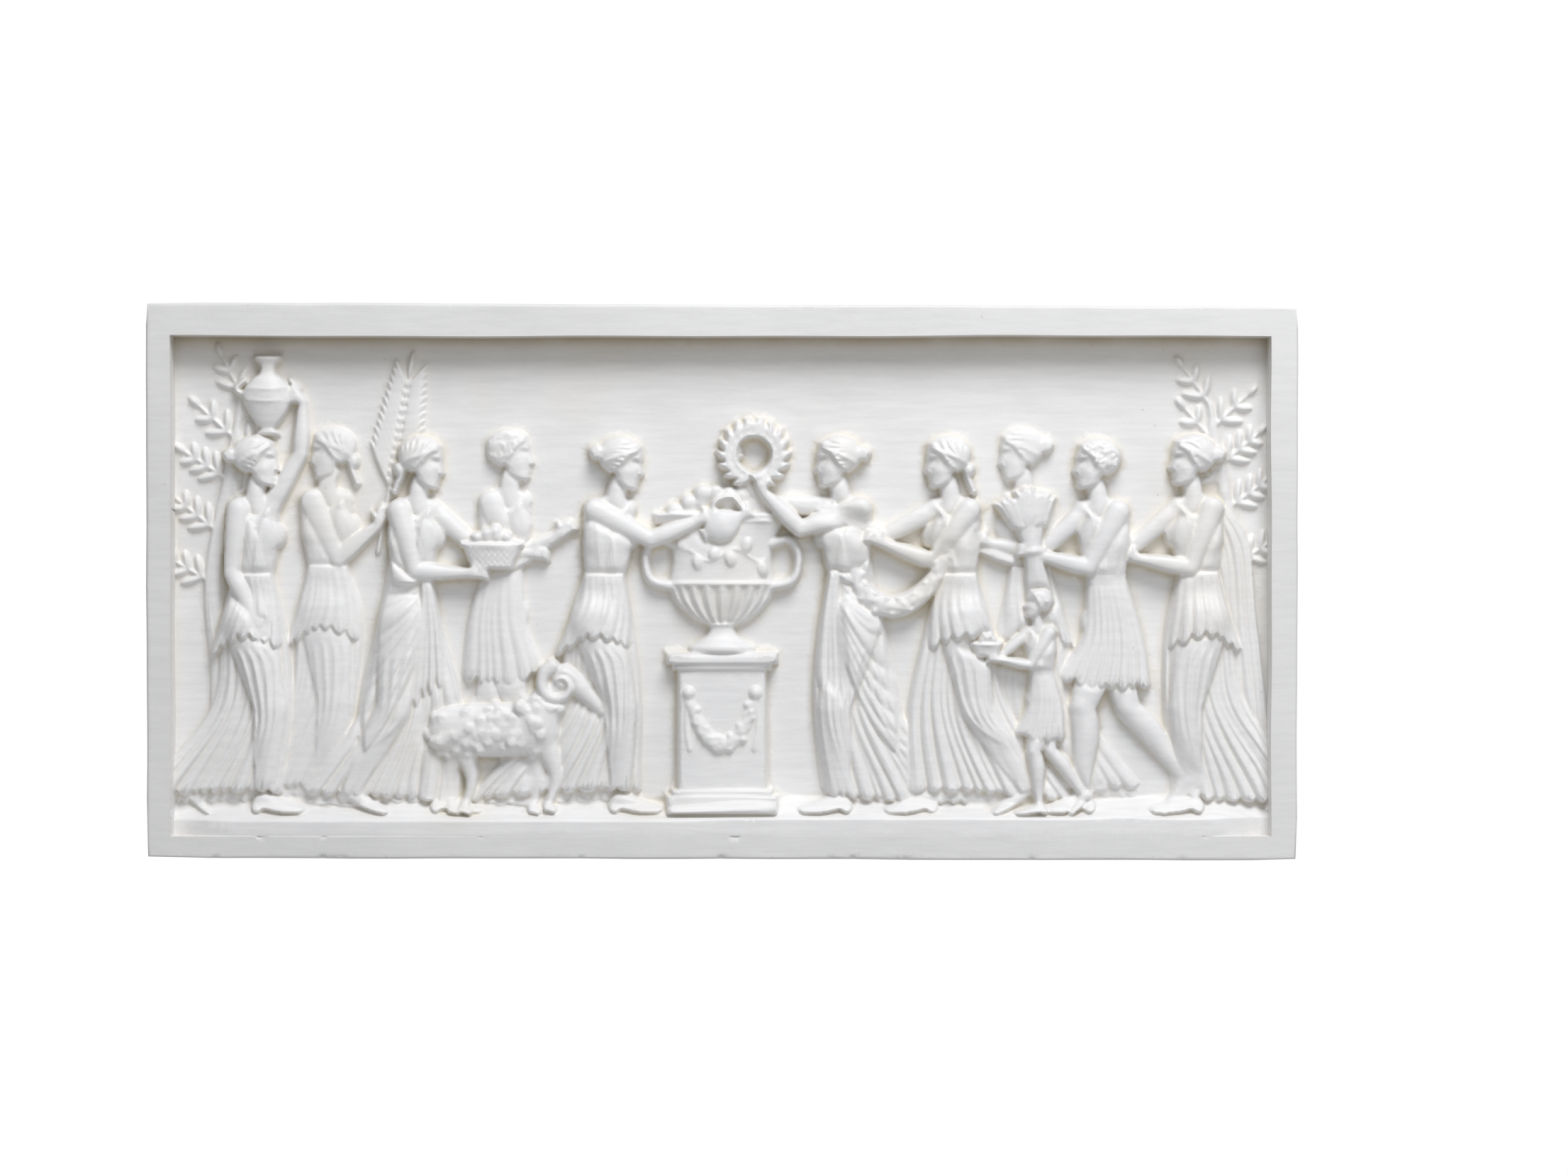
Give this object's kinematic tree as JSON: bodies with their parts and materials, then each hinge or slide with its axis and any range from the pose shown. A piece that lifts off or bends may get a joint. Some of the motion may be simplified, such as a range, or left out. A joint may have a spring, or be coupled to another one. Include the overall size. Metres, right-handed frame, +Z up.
{
  "type": "marble relief plaque",
  "caption": "Rectangular white marble wall plaque: a plain raised border round a sunk field carved with a procession of draped offering bearers, a garlanded pedestal and a wine bowl.",
  "frame": {"origin": "the middle of the flat back, where the plaque meets its wall", "axes": "+X along the width, to the right as seen from the front; +Y out of the back, into the wall; +Z up; the carved face looks along -Y"},
  "size_m": [0.6, 0.03, 0.288],
  "materials": {
    "white_marble": null
  },
  "bodies": {
    "root": {"relief_plaque": "white_marble"}
  },
  "joints": []
}
